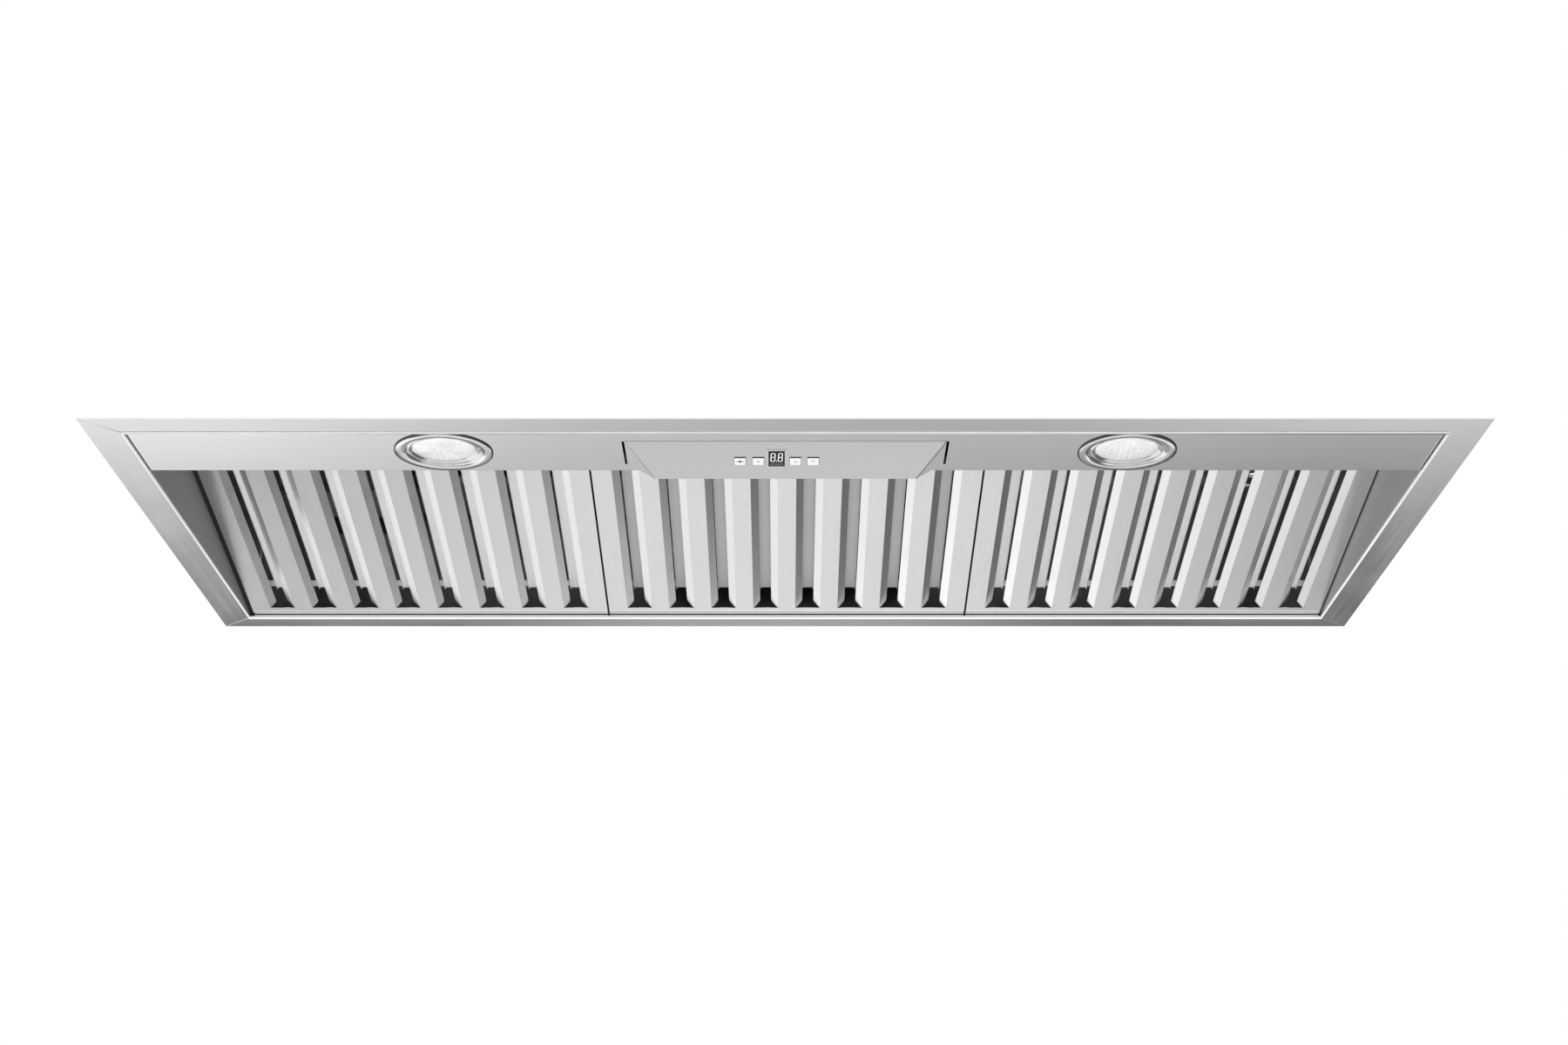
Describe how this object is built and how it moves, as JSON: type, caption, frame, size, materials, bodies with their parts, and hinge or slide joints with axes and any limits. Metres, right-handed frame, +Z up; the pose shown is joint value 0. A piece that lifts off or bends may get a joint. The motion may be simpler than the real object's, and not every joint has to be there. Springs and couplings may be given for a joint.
{
  "type": "under cabinet range hood",
  "caption": "Low insert range hood: flat mitred rim, light strip with round lights, sloping key panel with display, tilted baffle filters, blower and duct collar.",
  "frame": {"origin": "middle of the rim's upper face, in the plane where the rim bears on the cabinet", "axes": "+X to the right for a cook facing the hood, +Y back towards the wall, +Z up"},
  "size_m": [1.178, 0.572, 0.2002],
  "materials": {
    "canopy_steel": "brushed stainless sheet",
    "filter_steel": "satin stainless sheet",
    "filter_inner_steel": "satin stainless sheet",
    "galvanised_sheet": "galvanised sheet",
    "blower_paint": "black powder coat",
    "spring_steel": "bright",
    "bezel_chrome": "satin chrome",
    "lens_glass": "frosted",
    "key_plastic": "satin white",
    "display_black": "gloss",
    "board_laminate": "solder mask",
    "black_plastic": "moulded",
    "white_plastic": "moulded",
    "bush_bronze": "sintered",
    "zinc_screw": "zinc plated"
  },
  "bodies": {
    "canopy": {"front_rail": "canopy_steel", "rear_rail": "canopy_steel", "left_side": "canopy_steel", "right_side": "canopy_steel", "top_cover": "galvanised_sheet", "light_strip": "canopy_steel", "inner_panel": "galvanised_sheet", "filter_rail": "galvanised_sheet", "catch_clips": "spring_steel", "control_fascia": "canopy_steel", "display_bezel": "key_plastic", "display_module": "display_black", "control_board": "board_laminate", "key_switches": "black_plastic", "board_posts": "spring_steel", "light_bezel_left": "bezel_chrome", "light_bezel_right": "bezel_chrome", "light_lens_left": "lens_glass", "light_lens_right": "lens_glass", "light_housing_left": "galvanised_sheet", "light_housing_right": "galvanised_sheet", "light_board_left": "board_laminate", "light_board_right": "board_laminate", "light_springs_left": "spring_steel", "light_springs_right": "spring_steel", "blower_housing": "blower_paint", "inlet_rings": "galvanised_sheet", "motor_shell": "galvanised_sheet", "shaft_bushes": "bush_bronze", "motor_bracket": "galvanised_sheet", "capacitor": "white_plastic", "duct_collar": "galvanised_sheet", "damper_pin": "spring_steel", "junction_box": "galvanised_sheet", "junction_cover": "galvanised_sheet", "terminal_block": "white_plastic", "cable_gland": "black_plastic", "led_driver": "white_plastic", "wire_harness": "black_plastic", "body_screws": "zinc_screw"},
    "light_button": {"light_key": "key_plastic"},
    "minus_button": {"minus_key": "key_plastic"},
    "plus_button": {"plus_key": "key_plastic"},
    "power_button": {"power_key": "key_plastic"},
    "rotor": {"motor_shaft": "spring_steel", "impeller_left": "galvanised_sheet", "impeller_right": "galvanised_sheet"},
    "damper": {"damper_flap": "galvanised_sheet"},
    "filter_left": {"filter_frame_left": "filter_steel", "filter_baffles_left": "filter_inner_steel", "filter_studs_left": "spring_steel", "filter_pull_left": "spring_steel"},
    "filter_middle": {"filter_frame_middle": "filter_steel", "filter_baffles_middle": "filter_inner_steel", "filter_studs_middle": "spring_steel", "filter_pull_middle": "spring_steel"},
    "filter_right": {"filter_frame_right": "filter_steel", "filter_baffles_right": "filter_inner_steel", "filter_studs_right": "spring_steel", "filter_pull_right": "spring_steel"}
  },
  "joints": [
    {"name": "light_press", "type": "slide", "parent": "canopy", "child": "light_button", "axis": [0, 0.3376, 0.9413], "range_m": [0, 0.001], "stiffness_N_per_m": 800, "springref_m": -0.0005},
    {"name": "minus_press", "type": "slide", "parent": "canopy", "child": "minus_button", "axis": [0, 0.3376, 0.9413], "range_m": [0, 0.001], "stiffness_N_per_m": 800, "springref_m": -0.0005},
    {"name": "plus_press", "type": "slide", "parent": "canopy", "child": "plus_button", "axis": [0, 0.3376, 0.9413], "range_m": [0, 0.001], "stiffness_N_per_m": 800, "springref_m": -0.0005},
    {"name": "power_press", "type": "slide", "parent": "canopy", "child": "power_button", "axis": [0, 0.3376, 0.9413], "range_m": [0, 0.001], "stiffness_N_per_m": 800, "springref_m": -0.0005},
    {"name": "blower_spin", "type": "hinge", "parent": "canopy", "child": "rotor", "pos_m": [0, 0.198, 0.104], "axis": [1, 0, 0], "continuous": true},
    {"name": "damper_swing", "type": "hinge", "parent": "canopy", "child": "damper", "pos_m": [0, 0.17, 0.173], "axis": [1, 0, 0], "range_deg": [0, 75]},
    {"name": "filter_left_drop", "type": "hinge", "parent": "canopy", "child": "filter_left", "pos_m": [0, 0.2565, 0.0003], "axis": [1, 0, 0], "range_deg": [0, 85]},
    {"name": "filter_middle_drop", "type": "hinge", "parent": "canopy", "child": "filter_middle", "pos_m": [0, 0.2565, 0.0003], "axis": [1, 0, 0], "range_deg": [0, 85]},
    {"name": "filter_right_drop", "type": "hinge", "parent": "canopy", "child": "filter_right", "pos_m": [0, 0.2565, 0.0003], "axis": [1, 0, 0], "range_deg": [0, 85]}
  ]
}
